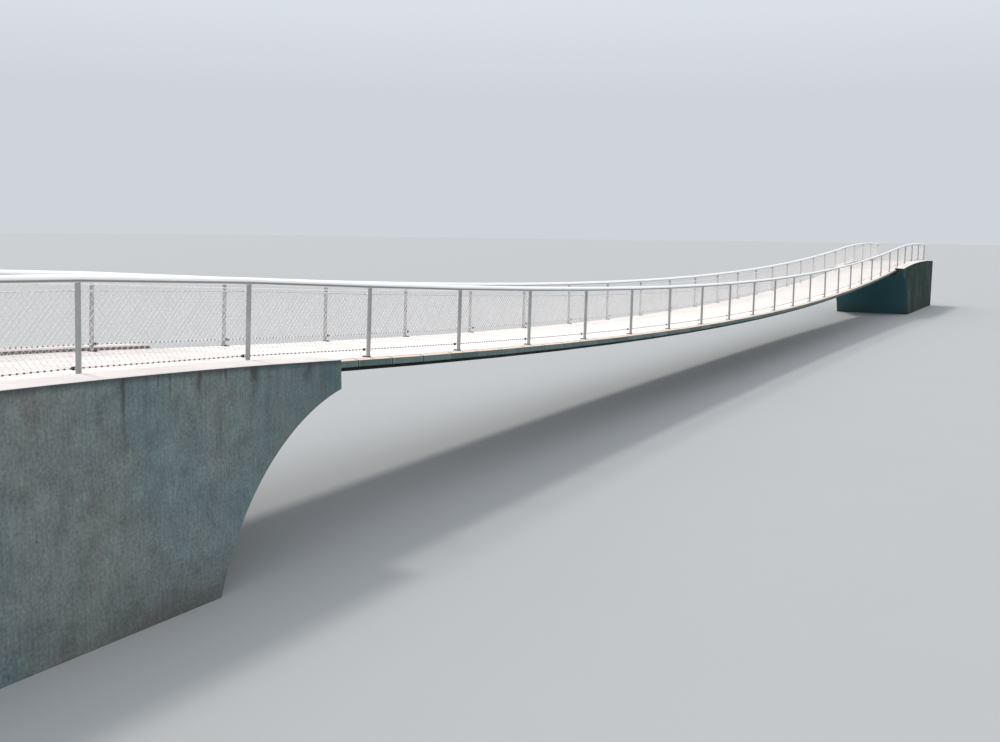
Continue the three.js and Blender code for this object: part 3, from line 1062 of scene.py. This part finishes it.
def makeNet(side, hand, stretch, start, end):
    reach = postPlaces[-1]
    start, end = max(start, -reach), min(end, reach)
    y = hand * (railing["lineY"] - railing["cableInset"])
    levels = 2 * net["rows"]

    def addWires(name, lines, radius, roundness, material, *shading):
        mesh = tubes(lines, radius, roundness)
        addPiece(f"{side}_{stretch}_{name}", mesh, material, "net_steel", f"{side}_net_{stretch}", *shading)

    wires = netLines(hand, start, end)
    roundness = net["wireRoundness"]
    addWires("net", wires, net["wireRadius"], roundness, "net_steel", net["shadingAngle"])
    half = net["sleeveLength"] / 2
    points = netPoints(start, end, range(1, levels))
    sleeves = [[alongRailing(x, y, h - half), alongRailing(x, y, h + half)] for x, h in points]
    addWires("sleeves", sleeves, net["sleeveRadius"], roundness, "net_steel", net["shadingAngle"])
    half = net["loopLength"] / 2
    for name, level, material in (("lower", 0, "loop_steel"), ("upper", levels, "fitting_steel")):
        points = [(x + netPitch / 2, h) for x, h in netPoints(start, end, [level])]
        loops = [[alongRailing(x - half, y, h), alongRailing(x + half, y, h)] for x, h in points]
        addWires(name + "_loops", loops, net["loopRadius"], net["loopRoundness"], material)


for side, hand in hands.items():
    for stretch, (start, end) in stretches.items():
        makePosts(side, hand, stretch, start, end)
        makeHandrail(side, hand, stretch, start, end)
        makeCables(side, hand, stretch, start, end)
        makeNet(side, hand, stretch, start, end)
    print("railing made:", side)

# Studio
studio = {
    "floor": (0.30, 0.302, 0.30, 1),
    "floorSize": 600.0,
    "floorCloud": (0.35, 3.0, 0.2, 0.8),
    "floorPaler": 1.03,
    "floorRoughness": 0.9,
    "horizon": (0.62, 0.66, 0.70, 1),
    "zenith": (1.35, 1.43, 1.54, 1),
    "skyFade": (0.12, 0.75),
    "skyStrength": 1.0,
    "sunDirection": (0.24, 0.72, 1.25),  # towards the light
    "sunColor": (1.0, 0.965, 0.92),
    "sunStrength": 2.0,
    "sunAngle": 9.0,
}


def makeStudio():
    bm = bmesh.new()
    bmesh.ops.create_grid(bm, x_segments=1, y_segments=1, size=studio["floorSize"] / 2)
    floor = bpy.data.objects.new("floor", toMesh(bm))
    bpy.context.scene.collection.objects.link(floor)
    material, tree, shader, place = newMaterial("floor_paint", studio["floorRoughness"])
    cloud = cloudy(tree, place, studio["floorCloud"])
    paler = (*(c * studio["floorPaler"] for c in studio["floor"][:3]), 1)
    tree.links.new(mixColor(tree, cloud, studio["floor"], paler), shader.inputs["Base Color"])
    floor.data.materials.append(material)

    world = bpy.data.worlds.new("sky")
    world.use_nodes = True
    tree = world.node_tree
    height = splitUp(tree, addNode(tree, "ShaderNodeTexCoord").outputs["Generated"])[2]
    color = mixColor(tree, remap(tree, height, *studio["skyFade"]), studio["horizon"], studio["zenith"])
    tree.links.new(color, tree.nodes["Background"].inputs["Color"])
    tree.nodes["Background"].inputs["Strength"].default_value = studio["skyStrength"]
    bpy.context.scene.world = world

    sun = bpy.data.lights.new("sun", "SUN")
    sun.energy = studio["sunStrength"]
    sun.color = studio["sunColor"]
    sun.angle = math.radians(studio["sunAngle"])
    lamp = bpy.data.objects.new("sun", sun)
    lamp.rotation_mode = "QUATERNION"
    lamp.rotation_quaternion = Vector(studio["sunDirection"]).to_track_quat("Z", "Y")
    bpy.context.scene.collection.objects.link(lamp)
    bpy.context.scene.view_settings.view_transform = "Standard"


camera = {  # where the photograph was taken from, beside the near abutment
    "place": (-17.5325, -5.082, 2.0525),
    "yaw": 28.19,  # degrees from +X towards +Y
    "pitch": -7.245,
    "roll": 0.603,
    "focalShare": 1.0943,  # focal length over the picture's width
    "sensor": 36.0,
}


def makeCamera():
    yaw, pitch, roll = (math.radians(camera[name]) for name in ("yaw", "pitch", "roll"))
    ahead = Vector((math.cos(yaw) * math.cos(pitch), math.sin(yaw) * math.cos(pitch), math.sin(pitch)))
    right = Vector((math.sin(yaw), -math.cos(yaw), 0))
    up = right.cross(ahead)
    tiltedRight = right * math.cos(roll) + up * math.sin(roll)
    tiltedUp = up * math.cos(roll) - right * math.sin(roll)
    data = bpy.data.cameras.new("camera")
    data.sensor_width = camera["sensor"]
    data.lens = camera["focalShare"] * camera["sensor"]
    data.clip_end = studio["floorSize"] * 2
    seen = bpy.data.objects.new("camera", data)
    axes = Matrix((tiltedRight, tiltedUp, -ahead)).transposed().to_4x4()
    seen.matrix_world = Matrix.Translation(camera["place"]) @ axes
    bpy.context.scene.collection.objects.link(seen)
    bpy.context.scene.camera = seen


makeStudio()
makeCamera()
print("studio and camera set")
